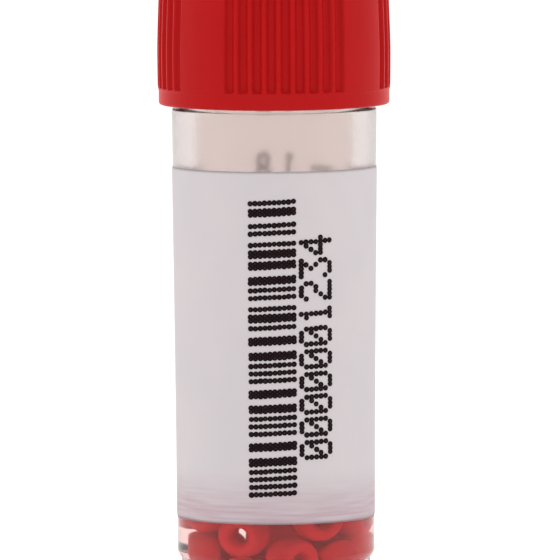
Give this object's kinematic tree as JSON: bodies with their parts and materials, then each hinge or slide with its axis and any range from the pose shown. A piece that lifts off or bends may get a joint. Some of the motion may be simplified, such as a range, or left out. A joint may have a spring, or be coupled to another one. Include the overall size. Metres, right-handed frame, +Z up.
{
  "type": "cryovial",
  "caption": "Self-standing sample vial with a ribbed screw cap, writing patch, printed marks and loose ring beads inside.",
  "frame": {"origin": "centre of the foot's underside", "axes": "+Z up the vial's axis; the writing patch faces -Y"},
  "size_m": [0.0142, 0.0142, 0.0475],
  "materials": {
    "tube": "natural translucent polypropylene, moulded, satin",
    "cap": "red polypropylene, moulded, semi-gloss",
    "washer": "white silicone rubber",
    "white_ink": "white screen-printing ink, matt",
    "black_ink": "black ink-jet ink",
    "bead": "red ceramic, smooth"
  },
  "bodies": {
    "vial": {"tube": "tube", "writing_patch": "white_ink", "graduation_print": "white_ink", "barcode_print": "black_ink", "number_print": "black_ink", "bead_01": "bead", "bead_02": "bead", "bead_03": "bead", "bead_04": "bead", "bead_05": "bead", "bead_06": "bead", "bead_07": "bead", "bead_08": "bead", "bead_09": "bead", "bead_10": "bead", "bead_11": "bead", "bead_12": "bead", "bead_13": "bead", "bead_14": "bead", "bead_15": "bead", "bead_16": "bead", "bead_17": "bead", "bead_18": "bead", "bead_19": "bead", "bead_20": "bead", "bead_21": "bead", "bead_22": "bead", "bead_23": "bead", "bead_24": "bead", "bead_25": "bead"},
    "seal": {"sealing_washer": "washer"},
    "cap": {"cap": "cap"}
  },
  "joints": [
    {"name": "cap_lift", "type": "slide", "parent": "vial", "child": "seal", "axis": [0, 0, 1], "range_m": [0, 0.012]},
    {"name": "cap_turn", "type": "hinge", "parent": "seal", "child": "cap", "pos_m": [0, 0, 0.04], "axis": [0, 0, 1], "range_deg": [0, 720]}
  ],
  "couplings": [
    {"joint": "cap_turn", "follows": "cap_lift", "rad_per_m": 1047.2}
  ]
}
